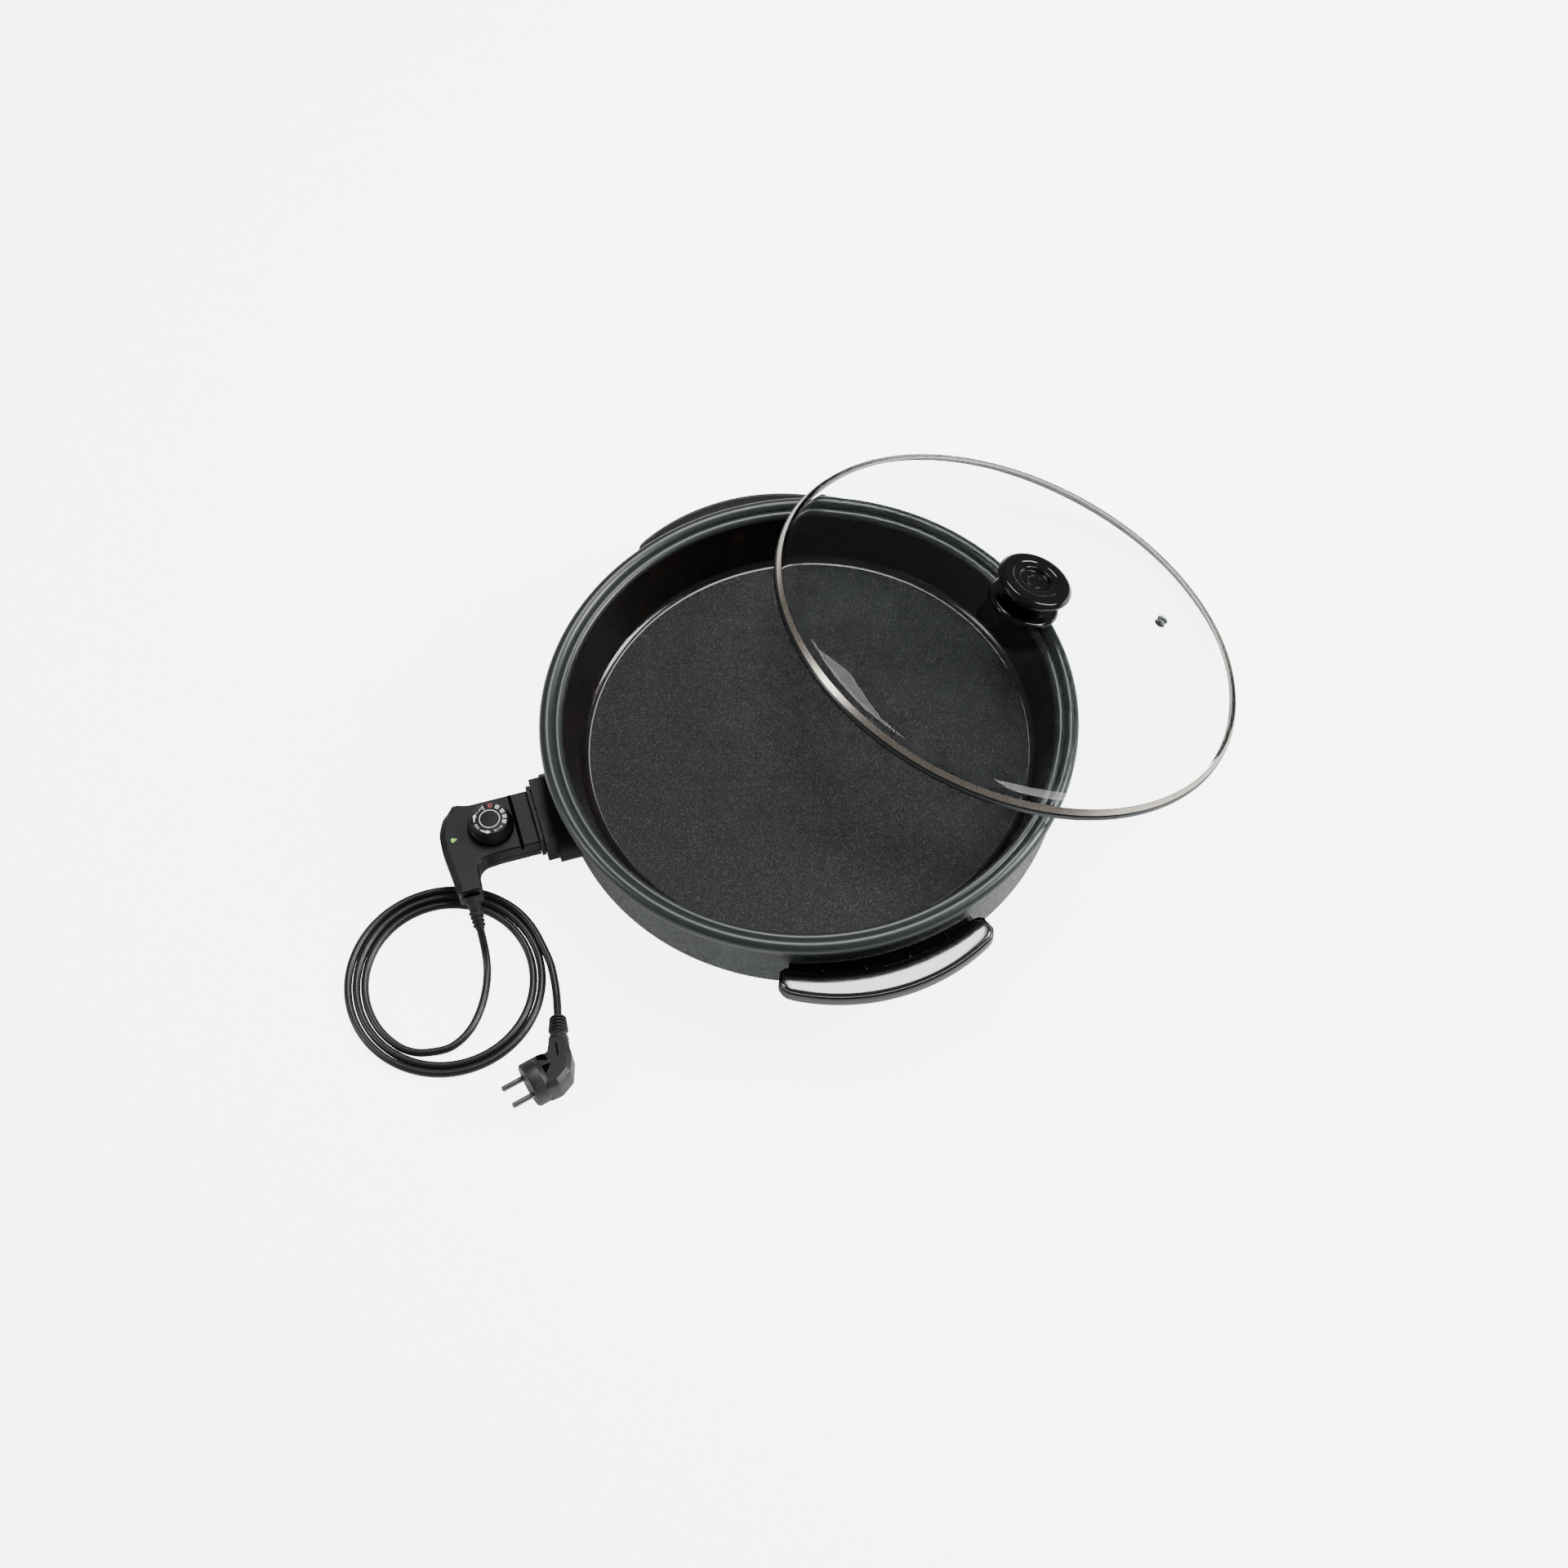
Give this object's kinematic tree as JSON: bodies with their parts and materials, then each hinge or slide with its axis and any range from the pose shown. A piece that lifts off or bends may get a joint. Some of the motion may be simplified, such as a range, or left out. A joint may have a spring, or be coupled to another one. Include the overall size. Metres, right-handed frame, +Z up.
{
  "type": "electric griddle",
  "caption": "Round electric griddle pan in a dark shell on feet, with moulded side handles, a plug-in dial controller with its cord, and a domed glass lid leaning on the rim.",
  "frame": {"origin": "on the pan's axis, at the level of the table that the feet stand on", "axes": "+Z up; the handles lie on +Y and -Y; the controller plugs in from -X"},
  "size_m": [0.8028, 0.5, 0.172],
  "materials": {
    "nonstick": "satin non-stick coating with fine speckle",
    "shell_enamel": "fine hammered dark grey-green enamel",
    "black_steel": "satin black",
    "aluminium_sheet": "bright rolled sheet",
    "steel": "zinc-plated",
    "element_sheath": "heat-darkened",
    "bright_metal": "bright nickel plate",
    "brass_tube": "drawn",
    "black_moulding": "glossy black phenolic",
    "foot_moulding": "satin black",
    "case_plastic": "satin dark grey, fine grain",
    "dial_plastic": "satin black with printed marks",
    "white_nylon": "smooth",
    "white_ceramic": "unglazed",
    "green_lens": "clear green",
    "lamp_glass": "small neon lamp",
    "soft_rubber": "matt",
    "soft_plastic": "satin black flexible moulding",
    "cord_sheath": "smooth satin sheath",
    "lid_glass": "clear tempered glass",
    "polished_band": "polished steel"
  },
  "bodies": {
    "base": {"pan": "nonstick", "outer_shell": "shell_enamel", "base_cover": "black_steel", "centre_stud": "steel", "centre_nut": "steel", "foot_rear_right": "foot_moulding", "foot_rear_left": "foot_moulding", "foot_front_left": "foot_moulding", "foot_front_right": "foot_moulding", "foot_pads": "soft_rubber", "foot_screws": "steel", "heating_element": "element_sheath", "element_clamp": "steel", "clamp_studs": "steel", "clamp_nuts": "steel", "reflector": "aluminium_sheet", "socket_bracket": "black_moulding", "socket_collar": "black_moulding", "terminal_pins": "bright_metal", "probe_guide": "brass_tube", "earth_tongue": "brass_tube", "socket_screws": "steel", "front_handle": "black_moulding", "rear_handle": "black_moulding"},
    "controller": {"controller_upper_case": "case_plastic", "controller_lower_case": "case_plastic", "lamp_lens": "green_lens", "indicator_lamp": "lamp_glass", "thermostat_body": "white_ceramic", "shaft_bush": "brass_tube", "probe_rod": "bright_metal", "controller_nose": "case_plastic", "contact_sleeves": "brass_tube", "case_screws": "steel", "cord_clamp": "case_plastic", "strain_relief": "soft_rubber", "cord_lead": "cord_sheath", "cord_coil": "cord_sheath", "cord_tail": "cord_sheath", "plug_body": "soft_plastic", "plug_pins": "bright_metal", "plug_earth_clips": "brass_tube", "plug_relief": "soft_plastic"},
    "dial": {"dial": "dial_plastic", "dial_shaft": "white_nylon"},
    "lid": {"lid_glass": "lid_glass", "lid_band": "polished_band", "knob_base": "black_moulding", "knob_cap": "black_moulding", "knob_gasket": "soft_rubber", "knob_washer": "steel", "knob_screw": "steel", "vent_grommet": "bright_metal"}
  },
  "joints": [
    {"name": "controller_unplug", "type": "slide", "parent": "base", "child": "controller", "axis": [-1, 0, 0], "range_m": [0, 0.07]},
    {"name": "dial_turn", "type": "hinge", "parent": "controller", "child": "dial", "pos_m": [-0.271, 0, 0.0504], "axis": [0, 0, -1], "range_deg": [-42, 270]},
    {"name": "lid_lift", "type": "slide", "parent": "base", "child": "lid", "axis": [0, 0, 1], "range_m": [0, 0.2]}
  ]
}
